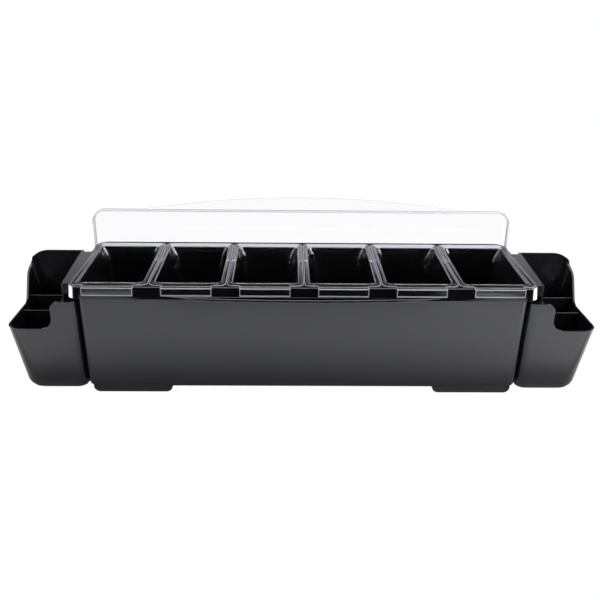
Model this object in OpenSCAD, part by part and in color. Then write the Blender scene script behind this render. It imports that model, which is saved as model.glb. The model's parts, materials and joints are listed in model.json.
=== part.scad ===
// Condiment caddy: a long black tub with six lift-out clear trays, a clear lid that swings over
// the trays or stands behind the tub, and a black napkin and straw holder hooked on each end.
// Millimetres, +X to the right, +Y to the back, +Z up. Origin: the middle of the whole outline on
// the table, with the lid standing behind the tub.

/* [Tub] */
// Length of the tub over its rim
tub_l = 495; // [485:1:520]
// Depth of the tub over its rim, front to back
tub_d = 152; // [146:1:160]
// Height of the rim above the table
tub_h = 128; // [120:1:140]
// Height of the band that hangs from the rim all round
rim_band = 13.5; // [11:0.5:16]
// Thickness of the rim and its band
rim_t = 3; // [2.4:0.1:3.6]
// Plan radius of the rim's corners
rim_r = 13; // [10:0.5:15]
// How far the band's lower edge stands out past the rim
rim_flare = 1.5; // [1:0.1:1.5]
// How far the bowed ledge reaches past the middle of the front rim
ledge_reach = 9; // [6:0.5:12]
// Length of front rim that the bowed ledge spans
ledge_span = 310; // [240:5:380]
// Thickness of the bowed ledge
ledge_t = 3; // [2:0.5:4]

/* [Outer shell] */
// Distance of the shell's end walls inside the ends of the rim
end_inset = 9; // [8:0.5:10]
// Wall of the outer shell
shell_wall = 2; // [1.8:0.1:2.4]
// How far the front and back walls lean in on the way down
face_draft = 4.5; // [3:0.5:7]
// How far the end walls lean in on the way down
end_draft = 2; // [1:0.5:4]
// Plan radius of the shell's upright corners
shell_r = 7; // [7:0.5:12]
// Radius of the shell's bottom edge
shell_edge = 5; // [3:0.5:6]
// Length of each moulded foot
foot_l = 87; // [60:1:110]
// Depth of each moulded foot, front to back
foot_d = 24; // [20:1:30]
// Height of each moulded foot
foot_h = 7; // [5:0.5:8]
// Distance from a foot's outer end to the end of the tub's underside
foot_inset = 5.5; // [2:0.5:12]

/* [Rubber pads] */
// Radius of a pad
pad_r = 8; // [5:0.5:9]
// Thickness of a pad
pad_t = 2; // [1.6:0.1:2.6]
// How far a pad stands out of its recess
pad_proud = 0.6; // [0.4:0.1:1.2]

/* [Ice well] */
// Wall of the inner well
well_wall = 1.5; // [1.2:0.1:1.8]
// Height of the well's floor above the table
well_floor = 22; // [16:1:34]
// Width of the rim's ledge in front of the well, below its flared mouth
well_front_ledge = 10; // [9:0.5:11]
// Width of the rim's ledge behind the well
well_back_ledge = 18; // [16:0.5:20]
// Height of the flare at the mouths of the well and the trays
flare_h = 9.5; // [9:0.5:11]
// How far the well's walls lean in on the way down
well_draft = 5; // [3:0.5:7]

/* [Trays] */
// Wall of a tray
tray_wall = 1.4; // [1.2:0.1:1.6]
// Thickness of a tray's flange
flange_t = 1.8; // [1.4:0.1:2.2]
// Width of a tray's flange along its sides
flange_side = 6.2; // [5.6:0.1:7]
// Width of a tray's flange at its front
flange_front = 10; // [9.6:0.1:11]
// Width of a tray's flange at its back
flange_back = 12; // [10:0.5:14]
// Bare rim left behind the flanges
rim_bare_back = 10.5; // [9:0.5:12]
// Bare rim left past the flanges of the end trays
rim_bare_end = 2.7; // [2.4:0.1:3]
// Depth of a tray below the rim
tray_depth = 72; // [50:1:80]
// How far a tray's walls lean in on the way down
tray_draft = 5; // [3:0.5:7]
// Plan radius inside a tray's corners
tray_r = 8; // [5:0.5:11]
// Width of the finger tab on a tray
tab_w = 52.5; // [40:0.5:60]
// How far the tab reaches past the front of the rim
tab_reach = 8; // [6:0.5:10]
// Height of the tab's front lip
tab_drop = 8.5; // [6:0.5:9]

/* [Lid] */
// Thickness of the lid's panel
lid_t = 2.5; // [2:0.1:3]
// Thickness of the lid's skirts
skirt_t = 2.5; // [2:0.1:3]
// How far the lid reaches past each end of the rim
lid_overhang = 9; // [8:0.5:10]
// Distance of the closed lid's front skirt behind the front of the rim
lid_setback = 9; // [6:0.5:14]
// Height of the lid's panel above the rim when it is closed
lid_rise = 6; // [5:0.5:8]
// Distance of the side skirts' lower edges below the rim when the lid is closed
skirt_lap = 1; // [0:0.5:1.5]
// Plan radius of the lid's corners
lid_r = 14; // [8:0.5:20]
// How far the bowed grip reaches past the front skirt
grip_reach = 15.5; // [10:0.5:18]
// Length of lid edge that the bowed grip spans
grip_span = 390; // [300:5:420]

/* [Swing links] */
// Distance of the pivots behind the back of the rim
pivot_back = 8; // [7.5:0.5:11]
// Distance of each link inside the end of the rim
link_inset = 25.5; // [24:0.5:50]
// Thickness of a link
link_t = 4; // [3:0.5:6]
// Radius of a link's round ends
link_r = 6; // [5:0.5:6.5]
// Radius of the pins
pin_r = 2.5; // [2:0.1:3]
// Height of the lid's pins above the table while the lid is stored
stow_z = 13; // [11:0.5:18]
// Distance of the lid's pins below the rim while the lid is closed
pin_drop = 4; // [3.5:0.5:5]
// Thickness of the ears on the lid and the cheeks on the brackets
ear_t = 4; // [3:0.5:5]
// Width of a bracket's plate
bracket_w = 34; // [32:1:40]
// Height of a bracket's plate
bracket_h = 26; // [20:1:36]
// Thickness of a bracket's plate
bracket_t = 3; // [2:0.5:3.5]
// Radius of the bracket screws
screw_r = 1.5; // [1.2:0.1:1.8]
// Length of the bracket screws
screw_l = 8; // [6:0.5:9]

/* [Side holders] */
// Wall of a holder
holder_wall = 2.2; // [1.8:0.1:2.8]
// Clear height of a holder above the table
holder_z = 2; // [1.5:0.5:8]
// Outer reach of a holder past the end of the rim, at its top
holder_reach = 83; // [70:0.5:100]
// Front of a holder at its top, measured back from the front of the rim
holder_front = 5.5; // [4:0.5:12]
// Back of a holder at its top, measured forward from the back of the rim
holder_back = 22; // [18:0.5:30]
// How far the outer wall leans in on the way down
holder_lean = 21.3; // [10:0.5:26]
// How far the front and back walls lean in on the way down
holder_draft = 8; // [4:0.5:9]
// Plan radius of the outer corners at the top
holder_r = 18; // [10:0.5:22]
// Height of the low front lip below the rim
lip_drop = 52.5; // [40:0.5:56]
// Height of the inner end of the front wall below the rim
cheek_drop = 20.2; // [20:0.2:24]
// Distance of the step in the front wall past the end of the rim
step_reach = 22; // [20:0.5:28]
// Radius of the step's upper corner
step_r = 9.5; // [4:0.5:9.5]
// Radius of the hollow at the foot of the step
scoop_r = 13; // [8:0.5:14]
// Slope of the outer wall's edge where it rises to the back wall, in degrees
sweep_a = 42; // [36:1:48]
// Distance of the foot of that slope in front of the back wall
sweep_l = 41; // [38:1:46]
// Radius at the foot and the head of that slope
sweep_r = 16; // [10:1:18]
// Radius of the front and back walls' inner corners
nook_r = 12; // [8:0.5:13]
// Radius of the back wall's outer top corner
crown_r = 28; // [12:1:32]
// Thickness of the dividers in a holder
divider_t = 2; // [1.6:0.1:2.6]
// Height of the back divider below the rim
divider_drop = 48; // [42:1:60]
// Step between the two dividers' heights
divider_step = 6; // [0:1:12]

/* [End rails] */
// Thickness of the rail on each end and of the holder's hook
rail_t = 2.5; // [2:0.1:2.6]
// Length of the rail and of the hook on it
rail_l = 105; // [50:1:108]
// Depth that the hook's tongue reaches behind the rail
hook_len = 5; // [3.5:0.5:5]
// How far the wall below the hook runs outward on its way to the back
hook_slant = 5.5; // [2:0.5:7]
// Distance of the hook's top below the rim
hook_drop = 3.5; // [3:0.5:4]
// Height that a holder is lifted to come off its rail
lift_off = 6; // [5.5:0.1:6]
// Gap between a holder and the shell's end wall
hang_gap = 0.8; // [0.5:0.1:1.2]
// Gap between the rim and the hook's tongue
hook_gap = 1.8; // [1.8:0.1:2.5]

/* [Fits] */
// Gap between parts that lie side by side
skin_gap = 0.3; // [0.2:0.05:0.4]
// Gap between a tray and the well, and between neighbouring flanges
tray_gap = 0.6; // [0.5:0.1:0.8]
// Radial running clearance of the pins
pin_fit = 0.05; // [0.02:0.01:0.1]
// Side clearance of the links in their forks
fork_gap = 0.4; // [0.3:0.05:0.6]

/* [Hidden] */

// Facets on round work, and on the corners that are blended
round_fn = 64;
blend_fn = 32;
// Facets on arcs of very large radius
bow_fn = 1440;
// Thickness of the thin layers that a blended solid is stretched over
layer = 0.2;
// A length that clears any part of the object
far = 400;
// Overlap that joins two shapes of one solid
bond = 0.5;

// Rim, shell and well, from the outside in
rim_hx = tub_l / 2;
rim_hy = tub_d / 2;
shell_hx = rim_hx - end_inset;
shell_hy = rim_hy - rim_t - skin_gap;
shell_z = pad_proud + foot_h;
neck_z = tub_h - flare_h;
shell_top = neck_z - 2 * skin_gap;
well_hx = shell_hx - shell_wall - skin_gap - well_wall;
well_front = well_front_ledge - rim_hy;
well_back = rim_hy - well_back_ledge;

// Trays
tray_count = 6;
tray_pitch = (rim_hx - rim_bare_end) / (tray_count / 2);
flange_hx = (tray_pitch - tray_gap) / 2;
flange_end = rim_hy - rim_bare_back;
open_hx = flange_hx - flange_side;
open_front = flange_front - rim_hy;
open_back = flange_end - flange_back;
neck_hx = well_hx - tray_gap - tray_wall - tray_pitch * (tray_count - 1) / 2;
neck_front = well_front + tray_gap + tray_wall;
neck_back = open_back - 1.5;
mouth_hx = tray_pitch * (tray_count - 1) / 2 + open_hx + tray_wall + tray_gap;
mouth_front = open_front - tray_wall - tray_gap;
flange_z = tub_h + skin_gap;
flange_top = flange_z + flange_t;
tray_z = tub_h - tray_depth;

// Lid and links
pivot_y = rim_hy + pivot_back;
link_x = rim_hx - link_inset;
pin_closed_z = tub_h - pin_drop;
link_len = (pin_closed_z - stow_z) / 2;
pivot_z = (pin_closed_z + stow_z) / 2;
panel_n = tub_h + lid_rise - pin_closed_z;
skirt_n = tub_h - skirt_lap - pin_closed_z;
front_skirt_n = flange_top + 3 * skin_gap - pin_closed_z;
rear_skirt_n = link_r + 1;
lid_hx = rim_hx + lid_overhang;
lid_front = pivot_y + rim_hy - lid_setback;
lid_rear = link_r + skin_gap;
ear_in = link_t / 2 + fork_gap;
ear_out = ear_in + ear_t;
seat_y = shell_hy + skin_gap;
plate_y = seat_y + bracket_t;
head_r = 2.2 * screw_r;
head_t = 1.4 * screw_r;
screw_x = (ear_out + bracket_w / 2) / 2 + 0.6;
pin_head_r = 1.6 * pin_r;
pin_head_t = 1.5;

// Holders and rails, measured outward from the middle of the tub
tongue_x = rim_hx + hook_gap;
rib_x = tongue_x + rail_t + skin_gap;
hook_x = rib_x + rail_t + skin_gap;
hook_end = hook_x + rail_t;
hook_top = tub_h - hook_drop;
hook_under = hook_top - rail_t;
rib_top = hook_under - skin_gap;
tongue_z = rib_top - hook_len;
shelf_top = tub_h - rim_band - skin_gap;
shelf_z = shelf_top - rail_t;
shoulder_z = shelf_z - lift_off - skin_gap;
hold_in_top = shell_hx + hang_gap + 0.2;
hold_in_z = shell_hx - end_draft + hang_gap;
hold_out_top = rim_hx + holder_reach;
hold_out_z = hold_out_top - holder_lean;
hold_front_top = -rim_hy + holder_front;
hold_front_z = hold_front_top + holder_draft;
hold_back_top = rim_hy - holder_back;
hold_back_z = hold_back_top - holder_draft;
hold_edge = 12;
step_x = rim_hx + step_reach;
lip_z = tub_h - lip_drop;
cheek_z = tub_h - cheek_drop;
rail_y0 = hold_front_top + 13.5;
rail_y1 = rail_y0 + rail_l;
back_in = hold_back_top - holder_wall - 2;
divider_y = [-11, 20];
divider_z = [tub_h - divider_drop - divider_step, tub_h - divider_drop];
groove_reach = 2.5;

// The outline's middle, front to back, is put at the origin
front_reach = rim_hy + max(ledge_reach, tab_reach);
back_reach = pivot_y + panel_n + lid_t;
origin_y = (front_reach - back_reach) / 2;

// Puts a piece into the object's frame
module place() {
    translate([0, origin_y, 0]) children();
}

// The same piece on the left (-1) or the right (1)
module side(s) {
    if (s < 0) mirror([1, 0, 0]) children();
    else children();
}

// A flat rectangle with round corners, centred
module round_rect(x, y, r) {
    square([x - 2 * r, y], center = true);
    square([x, y - 2 * r], center = true);
    for (i = [-1, 1], j = [-1, 1])
        translate([i * (x / 2 - r), j * (y / 2 - r)]) circle(r = r, $fn = round_fn);
}

// Four thin discs at the corners of a rectangle; blended solids are stretched over these
module corners(x0, x1, y0, y1, r_in, r_out, z) {
    for (y = [[y0, 1], [y1, -1]]) {
        translate([x0 + r_in, y[0] + y[1] * r_in, z]) cylinder(r = r_in, h = layer, $fn = blend_fn);
        translate([x1 - r_out, y[0] + y[1] * r_out, z]) cylinder(r = r_out, h = layer, $fn = blend_fn);
    }
}

// The part of a big disc that stands past a straight edge along X: a bow of given span and reach
module bow(span, reach, root) {
    radius = (span * span / 4 + reach * reach) / (2 * reach);
    intersection() {
        translate([0, radius - reach]) circle(r = radius, $fn = bow_fn);
        translate([-span / 2, -reach - 1]) square([span, reach + 1 + root]);
    }
}

// What a rounded inner corner leaves of its square, with the corner at the origin
module fillet(r) {
    difference() {
        translate([-bond, -bond]) square(r + bond);
        translate([r, r]) circle(r = r, $fn = 2 * round_fn);
    }
}

// ---- Tub -------------------------------------------------------------------------------------

// The shell's outside, grown or shrunk by an inset
module shell_form(inset, z0) {
    hx = shell_hx - inset;
    hy = shell_hy - inset;
    bx = hx - end_draft;
    by = hy - face_draft;
    r = shell_r - inset;
    e = shell_edge;
    hull() {
        for (a = [0, 30, 60, 90]) {
            in = e * (1 - sin(a));
            corners(-bx + in, bx - in, -by + in / 5, by - in / 5,
                r - in / 3, r - in / 3, z0 + e * (1 - cos(a)));
        }
        corners(-hx, hx, -hy, hy, r, r, shell_top - layer);
    }
}

// One moulded foot, seen from the front: its ends are round below
module foot_profile() {
    translate([-foot_l / 2 + foot_h, -foot_h]) square([foot_l - 2 * foot_h, foot_h + 2]);
    intersection() {
        for (i = [-1, 1])
            translate([i * (foot_l / 2 - foot_h), 0]) circle(r = foot_h, $fn = round_fn);
        translate([-foot_l, -foot_h - 1]) square([2 * foot_l, foot_h + 1 + bond]);
    }
}

// Middle of the foot at a corner, and of its pad
function foot_x(i) = i * (shell_hx - end_draft - foot_inset - foot_l / 2);
function foot_y(j) = j * (shell_hy - face_draft - foot_d / 2);

module feet() {
    for (i = [-1, 1], j = [-1, 1])
        translate([foot_x(i), foot_y(j) + foot_d / 2, shell_z])
            rotate([90, 0, 0])
                linear_extrude(foot_d) foot_profile();
}

// The rail on one end of the tub that a holder hangs on
module end_rail() {
    translate([0, rail_y1, 0])
        rotate([90, 0, 0])
            linear_extrude(rail_y1 - rail_y0)
                polygon([
                    [shell_hx - shell_wall / 2, shelf_z],
                    [rib_x + rail_t, shelf_z],
                    [rib_x + rail_t, rib_top],
                    [rib_x, rib_top],
                    [rib_x, shelf_top],
                    [shell_hx - shell_wall / 2, shelf_top],
                ]);
}

// The pad on the shell's back that a bracket seats on
module bracket_seat() {
    depth = seat_y - shell_hy + face_draft / 2 + shell_wall;
    translate([link_x - bracket_w / 2 - 1, seat_y - depth, pivot_z - bracket_h / 2 - 1])
        cube([bracket_w + 2, depth, bracket_h + 2]);
}

module base_shell() {
    color([0.03, 0.03, 0.035])
    place() difference() {
        union() {
            difference() {
                shell_form(0, shell_z);
                hull() {
                    corners(-shell_hx + shell_wall + end_draft + 2, shell_hx - shell_wall - end_draft - 2,
                        -shell_hy + shell_wall + face_draft + 1, shell_hy - shell_wall - face_draft - 1,
                        shell_r - shell_wall, shell_r - shell_wall, shell_z + shell_wall);
                    corners(-shell_hx + shell_wall, shell_hx - shell_wall,
                        -shell_hy + shell_wall, shell_hy - shell_wall,
                        shell_r - shell_wall, shell_r - shell_wall, shell_top + 1);
                }
            }
            feet();
            for (s = [-1, 1]) {
                side(s) end_rail();
                side(s) bracket_seat();
            }
        }
        for (i = [-1, 1], j = [-1, 1])
            translate([foot_x(i), foot_y(j), pad_proud - 1])
                cylinder(r = pad_r + skin_gap, h = 1 + pad_t - pad_proud, $fn = round_fn);
        for (s = [-1, 1], t = [-1, 1])
            translate([s * link_x + t * screw_x, seat_y + 1, pivot_z])
                rotate([90, 0, 0])
                    cylinder(r = screw_r + pin_fit, h = screw_l - bracket_t + 1.6, $fn = round_fn);
    }
}

module base_liner() {
    rim_in = max(rim_r - rim_t, 1);
    color([0.02, 0.02, 0.025])
    place() {
        // band round the rim, and the bowed ledge along its front
        difference() {
            band_form(0, rim_r, 0);
            band_form(rim_t, rim_in, bond);
        }
        translate([0, -rim_hy, tub_h - rim_band])
            linear_extrude(ledge_t) bow(ledge_span, ledge_reach, rim_t / 2);
        // rim plate and the well that hangs from it
        difference() {
            union() {
                translate([0, 0, tub_h - rim_t])
                    linear_extrude(rim_t) round_rect(tub_l - rim_t, tub_d - rim_t, rim_r - rim_t / 2);
                well_form(well_wall);
            }
            well_form(0);
        }
    }
}

// The band's outside, or its inside run on past both ends
module band_form(inset, r, over) {
    low = rim_flare - inset;
    hull() {
        translate([0, 0, tub_h - rim_band - over])
            linear_extrude(layer) round_rect(tub_l + 2 * low, tub_d + 2 * low, r + rim_flare);
        translate([0, 0, tub_h - layer + over])
            linear_extrude(layer) round_rect(tub_l - 2 * inset, tub_d - 2 * inset, r);
    }
}

// The well with its flared mouth, grown by its wall for the outside
module well_form(t) {
    low = well_floor - t;
    r = tray_r - well_wall + t;
    // the outside stops inside the rim plate, the inside runs out through its top
    top = t > 0 ? tub_h - rim_t : tub_h;
    hull() {
        corners(-well_hx - t + well_draft, well_hx + t - well_draft,
            well_front - t + well_draft, well_back + t - well_draft, r, r, low);
        corners(-well_hx - t, well_hx + t, well_front - t, well_back + t, r, r, neck_z);
    }
    hull() {
        corners(-well_hx - t, well_hx + t, well_front - t, well_back + t, r, r, neck_z);
        corners(-mouth_hx - t, mouth_hx + t, mouth_front - t, well_back + t, r, r, top);
    }
}

module foot_pad(i, j) {
    color([0.05, 0.05, 0.05])
    place() translate([foot_x(i), foot_y(j), 0])
        cylinder(r = pad_r, h = pad_t, $fn = round_fn);
}

// ---- Trays -----------------------------------------------------------------------------------

// The finger tab: a lip that runs forward over the rim and turns down
module tray_tab() {
    front = -rim_hy - tab_reach;
    intersection() {
        translate([-tab_w / 2, 0, 0])
            rotate([90, 0, 90])
                linear_extrude(tab_w)
                    difference() {
                        union() {
                            translate([front, flange_z])
                                square([-rim_hy + 2 * bond - front, flange_t]);
                            translate([front, flange_top - tab_drop]) square([flange_t, tab_drop]);
                        }
                        translate([front, flange_top]) mirror([0, 1]) fillet(1.5);
                    }
        translate([0, 0, flange_top - tab_drop - 1])
            linear_extrude(tab_drop + 2)
                translate([0, front + 30]) round_rect(tab_w, 60, 5);
    }
}

module tray(k) {
    mid = (k - (tray_count + 1) / 2) * tray_pitch;
    front = -rim_hy + skin_gap;
    color([0.86, 0.87, 0.93, 0.4])
    place() translate([mid, 0, 0]) {
        tray_tab();
        difference() {
            union() {
                translate([0, (flange_end + front) / 2, flange_z])
                    linear_extrude(flange_t)
                        round_rect(2 * flange_hx, flange_end - front, tray_r);
                tray_form(tray_wall);
            }
            tray_form(0);
        }
    }
}

// A tray with its flared mouth, grown by its wall for the outside
module tray_form(t) {
    r = tray_r - tray_wall + t;
    top = t > 0 ? flange_z : flange_top;
    hull() {
        corners(-neck_hx - t + tray_draft, neck_hx + t - tray_draft,
            neck_front - t + tray_draft, neck_back + t - tray_draft,
            r, r, tray_z + tray_wall - t);
        corners(-neck_hx - t, neck_hx + t, neck_front - t, neck_back + t, r, r, neck_z);
    }
    hull() {
        corners(-neck_hx - t, neck_hx + t, neck_front - t, neck_back + t, r, r, neck_z);
        corners(-open_hx - t, open_hx + t, open_front - t, open_back + t, r, r, top);
    }
}

// ---- Lid, links and brackets -----------------------------------------------------------------

// The lid lies closed here, with its pin's axis along X through the origin
module lid_form() {
    mid = (lid_rear - lid_front) / 2;
    long = lid_rear + lid_front;
    // panel with its bowed grip
    translate([0, 0, panel_n])
        linear_extrude(lid_t) {
            translate([0, mid]) round_rect(2 * lid_hx, long, lid_r);
            translate([0, -lid_front]) bow(grip_span, grip_reach, 2 * bond);
        }
    // skirts: deep along the ends, shallow over the trays and over the links
    difference() {
        translate([0, mid, skirt_n])
            linear_extrude(panel_n - skirt_n + bond)
                difference() {
                    round_rect(2 * lid_hx, long, lid_r);
                    round_rect(2 * (lid_hx - skirt_t), long - 2 * skirt_t, lid_r - skirt_t);
                }
        translate([-rim_hx - 1, -lid_front - 1, skirt_n - 1])
            cube([2 * rim_hx + 2, lid_front - lid_r, front_skirt_n - skirt_n + 1]);
        translate([-rim_hx - 1, -lid_rear - 1, skirt_n - 1])
            cube([2 * rim_hx + 2, 3 * lid_rear, rear_skirt_n - skirt_n + 1]);
    }
    // ears either side of each link
    for (s = [-1, 1], t = [-1, 1])
        translate([s * link_x + t * (ear_in + ear_t / 2) - ear_t / 2, 0, 0])
            rotate([90, 0, 90])
                linear_extrude(ear_t)
                    difference() {
                        union() {
                            circle(r = link_r, $fn = round_fn);
                            translate([-link_r, 0]) square([2 * link_r, panel_n + bond]);
                        }
                        circle(r = pin_r + pin_fit, $fn = round_fn);
                    }
}

module lid() {
    color([0.88, 0.89, 0.95, 0.3])
    place() translate([0, pivot_y, stow_z])
        rotate([-90, 0, 0]) lid_form();
}

// A pin through a fork, with a head on its outer end
module fork_pin() {
    rotate([0, 90, 0]) {
        translate([0, 0, -ear_out - pin_head_t / 2])
            cylinder(r = pin_r, h = 2 * ear_out + pin_head_t, $fn = round_fn);
        translate([0, 0, ear_out + skin_gap])
            cylinder(r = pin_head_r, h = pin_head_t, $fn = round_fn);
    }
}

module lid_pin(s) {
    color([0.7, 0.7, 0.72])
    place() side(s) translate([link_x, pivot_y, stow_z]) fork_pin();
}

module pivot_pin(s) {
    color([0.7, 0.7, 0.72])
    place() side(s) translate([link_x, pivot_y, pivot_z]) fork_pin();
}

module swing_link(s) {
    color([0.05, 0.05, 0.055])
    place() side(s) translate([link_x - link_t / 2, pivot_y, pivot_z])
        rotate([90, 0, 90])
            linear_extrude(link_t)
                difference() {
                    union() {
                        circle(r = link_r, $fn = round_fn);
                        translate([0, -link_len]) circle(r = link_r, $fn = round_fn);
                        translate([-link_r * 0.75, -link_len]) square([link_r * 1.5, link_len]);
                    }
                    circle(r = pin_r + pin_fit, $fn = round_fn);
                    translate([0, -link_len]) circle(r = pin_r + pin_fit, $fn = round_fn);
                }
}

module hinge_bracket(s) {
    color([0.05, 0.05, 0.055])
    place() side(s) {
        difference() {
            translate([link_x - bracket_w / 2, seat_y, pivot_z - bracket_h / 2])
                cube([bracket_w, bracket_t, bracket_h]);
            for (t = [-1, 1])
                translate([link_x + t * screw_x, plate_y + 1, pivot_z])
                    rotate([90, 0, 0])
                        cylinder(r = screw_r + pin_fit, h = bracket_t + 2, $fn = round_fn);
        }
        for (t = [-1, 1])
            translate([link_x + t * (ear_in + ear_t / 2) - ear_t / 2, pivot_y, pivot_z])
                rotate([90, 0, 90])
                    linear_extrude(ear_t)
                        difference() {
                            union() {
                                circle(r = link_r, $fn = round_fn);
                                polygon([
                                    [0, link_r],
                                    [plate_y - bond - pivot_y, bracket_h / 2 - 1],
                                    [plate_y - bond - pivot_y, 1 - bracket_h / 2],
                                    [0, -link_r],
                                ]);
                            }
                            circle(r = pin_r + pin_fit, $fn = round_fn);
                        }
    }
}

module bracket_screws() {
    color([0.6, 0.6, 0.62])
    place() for (s = [-1, 1], t = [-1, 1])
        translate([s * link_x + t * screw_x, plate_y, pivot_z])
            rotate([90, 0, 0]) {
                cylinder(r = screw_r, h = screw_l, $fn = round_fn);
                translate([0, 0, -head_t]) difference() {
                    cylinder(r = head_r, h = head_t, $fn = round_fn);
                    translate([-head_r, -0.3, -1]) cube([2 * head_r, 0.6, 1.8]);
                }
            }
}

// ---- Side holders ----------------------------------------------------------------------------

// Where a holder's leaning wall stands at a height
function wall_at(top, low, z) =
    low + (top - low) * (z - holder_z - hold_edge) / (hook_top - holder_z - hold_edge);

// A holder's outside, shrunk by an inset, from a height up to past its top
module holder_form(inset, z0, z1) {
    x0 = wall_at(hold_in_top, hold_in_z, z1) + inset;
    x1 = wall_at(hold_out_top, hold_out_z, z1) - inset;
    y0 = wall_at(hold_front_top, hold_front_z, z1) + inset;
    y1 = wall_at(hold_back_top, hold_back_z, z1) - inset;
    bx0 = hold_in_z + inset;
    bx1 = hold_out_z - inset;
    by0 = hold_front_z + inset;
    by1 = hold_back_z - inset;
    e = hold_edge - inset;
    rin = nook_r - inset;
    rout = holder_r - inset;
    hull() {
        for (a = [0, 22.5, 45, 67.5, 90]) {
            in = e * (1 - sin(a));
            corners(bx0 + in / 2, bx1 - in, by0 + in / 4, by1 - in / 4,
                rin - in / 3, rout * 0.9 - in / 2, z0 + e * (1 - cos(a)));
        }
        corners(x0, x1, y0, y1, rin, rout, z1 - layer);
    }
}

// Seen from the end: open above the low lip as far back as a slope that rises to the back wall
module sweep_profile() {
    r = sweep_r;
    foot = [back_in - sweep_l - r * tan(sweep_a / 2), lip_z + r];
    head_z = lip_z + sweep_l * tan(sweep_a) + r * tan((90 - sweep_a) / 2);
    head = [back_in - r, head_z];
    polygon(concat(
        [[-far / 2, lip_z]],
        [for (a = [-90 : sweep_a / 6 : sweep_a - 90 + 0.01]) foot + r * [cos(a), sin(a)]],
        [for (a = [sweep_a - 90 : (90 - sweep_a) / 6 : 0.01]) head + r * [cos(a), sin(a)]],
        [[back_in, far], [-far / 2, far]]
    ));
}

// What is cut away above the rim of the front wall and of the outer wall
module holder_cut() {
    difference() {
        intersection() {
            rotate([90, 0, 90])
                linear_extrude(far) sweep_profile();
            // seen from the front: a high inner cheek, a round step down, then the low lip
            translate([0, far / 2, 0])
                rotate([90, 0, 0])
                    linear_extrude(far)
                        difference() {
                            union() {
                                translate([step_x, lip_z]) square(far);
                                translate([hook_end, cheek_z]) square(far);
                                translate([step_x, cheek_z])
                                    mirror([1, 0]) mirror([0, 1]) fillet(step_r);
                            }
                            translate([step_x, lip_z]) fillet(scoop_r);
                        }
        }
        // all but the wall that the hook stands on
        linear_extrude(far) tub_side(hook_end, -far);
    }
    // the inner wall ends level with its hook
    translate([0, -far / 2, cheek_z])
        cube([far, far / 2 + rail_y0 - skin_gap, far]);
    // round outer top corner of the back wall
    translate([0, far / 2, 0])
        rotate([90, 0, 0])
            linear_extrude(far)
                difference() {
                    translate([hold_out_top - crown_r, hook_top - crown_r]) square(far);
                    translate([hold_out_top - crown_r, hook_top - crown_r])
                        circle(r = crown_r, $fn = 2 * round_fn);
                }
}

// In plan, all that lies on the tub's side of the upper inner wall's face at x
module tub_side(x, y0) {
    polygon([
        [0, y0],
        [x, y0],
        [x, rail_y0],
        [x + hook_slant, hold_back_top],
        [x + hook_slant, far],
        [0, far],
    ]);
}

// Hollow of a holder: wide below the rail, narrower where the wall steps round it
module holder_hollow() {
    difference() {
        holder_form(holder_wall, holder_z + holder_wall, hook_top + 6);
        translate([0, 0, shoulder_z - holder_wall])
            linear_extrude(far) tub_side(hook_end, -far);
    }
}

module holder(s) {
    color([0.03, 0.03, 0.035])
    place() side(s) {
        difference() {
            holder_form(0, holder_z, hook_top);
            difference() {
                holder_hollow();
                // ribs that hold the dividers' edges
                for (y = divider_y, j = [-1, 1])
                    difference() {
                        translate([0, y + j * (divider_t / 2 + skin_gap + 0.9) - 0.9, 0])
                            cube([far, 1.8, divider_z[0] - 3]);
                        holder_form(holder_wall + groove_reach, holder_z - 2, hook_top + 8);
                    }
            }
            // room for the rail and the hook's tongue
            translate([0, 0, shoulder_z])
                linear_extrude(far) tub_side(hook_x, hold_front_top + 10);
            holder_cut();
        }
        // hook over the rail: its plate, and the tongue behind the rail
        root = hook_x + rail_t / 2;
        translate([0, 0, hook_under])
            linear_extrude(rail_t)
                polygon([
                    [tongue_x, rail_y0],
                    [root, rail_y0],
                    [root + hook_slant * rail_l / (hold_back_top - rail_y0), rail_y1],
                    [tongue_x, rail_y1],
                ]);
        translate([tongue_x, rail_y0, tongue_z])
            cube([rail_t, rail_l, hook_top - tongue_z]);
    }
}

module divider(s, k) {
    gap = holder_wall + skin_gap;
    z0 = holder_z + hold_edge;
    z1 = divider_z[k];
    low = holder_z + holder_wall + 1;
    color([0.04, 0.04, 0.045])
    place() side(s) translate([0, divider_y[k] + divider_t / 2, 0])
        rotate([90, 0, 0])
            linear_extrude(divider_t)
                polygon([
                    [wall_at(hold_in_top, hold_in_z, z0) + gap, z0],
                    [hold_in_z + hold_edge / 2 + 1, low],
                    [hold_out_z - hold_edge - 1, low],
                    [wall_at(hold_out_top, hold_out_z, z0) - gap, z0],
                    [wall_at(hold_out_top, hold_out_z, z1) - gap, z1],
                    [wall_at(hold_in_top, hold_in_z, z1) + gap, z1],
                ]);
}

base_shell();
base_liner();
foot_pad(-1, -1);  // foot_pad_front_left
foot_pad(1, -1);  // foot_pad_front_right
foot_pad(-1, 1);  // foot_pad_back_left
foot_pad(1, 1);  // foot_pad_back_right
tray(1);  // tray_1
tray(2);  // tray_2
tray(3);  // tray_3
tray(4);  // tray_4
tray(5);  // tray_5
tray(6);  // tray_6
hinge_bracket(-1);  // hinge_bracket_left
hinge_bracket(1);  // hinge_bracket_right
bracket_screws();
pivot_pin(-1);  // pivot_pin_left
pivot_pin(1);  // pivot_pin_right
swing_link(-1);  // swing_link_left
swing_link(1);  // swing_link_right
lid();
lid_pin(-1);  // lid_pin_left
lid_pin(1);  // lid_pin_right
holder(-1);  // holder_left
holder(1);  // holder_right
divider(-1, 0);  // divider_front_left
divider(-1, 1);  // divider_back_left
divider(1, 0);  // divider_front_right
divider(1, 1);  // divider_back_right
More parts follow.
